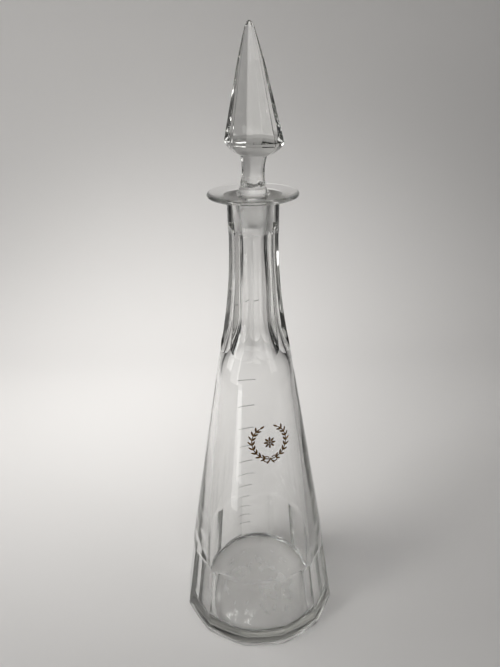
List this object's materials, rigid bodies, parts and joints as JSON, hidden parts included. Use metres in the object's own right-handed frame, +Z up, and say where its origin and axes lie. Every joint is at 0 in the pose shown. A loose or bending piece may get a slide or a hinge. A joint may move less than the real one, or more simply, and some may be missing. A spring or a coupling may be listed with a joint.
{
  "type": "liqueur decanter",
  "caption": "Tall conical cut glass decanter with a thick base, flanged lip, dose marks, a gilt wreath and a ground stopper with a pyramid finial.",
  "frame": {"origin": "centre of the foot, on the surface that the decanter stands on", "axes": "+Z up along the body's axis, -Y towards the gilt ornament's side"},
  "size_m": [0.0858, 0.0858, 0.3101],
  "materials": {
    "body_glass": "polished clear glass",
    "stopper_glass": "polished clear glass with a ground plug",
    "gilding": "fired gold, darkened"
  },
  "bodies": {
    "decanter": {"decanter_body": "body_glass", "gilt_ornament": "gilding"},
    "stopper": {"stopper": "stopper_glass"}
  },
  "joints": [
    {"name": "stopper_lift", "type": "slide", "parent": "decanter", "child": "stopper", "axis": [0, 0, 1], "range_m": [0, 0.045]}
  ]
}
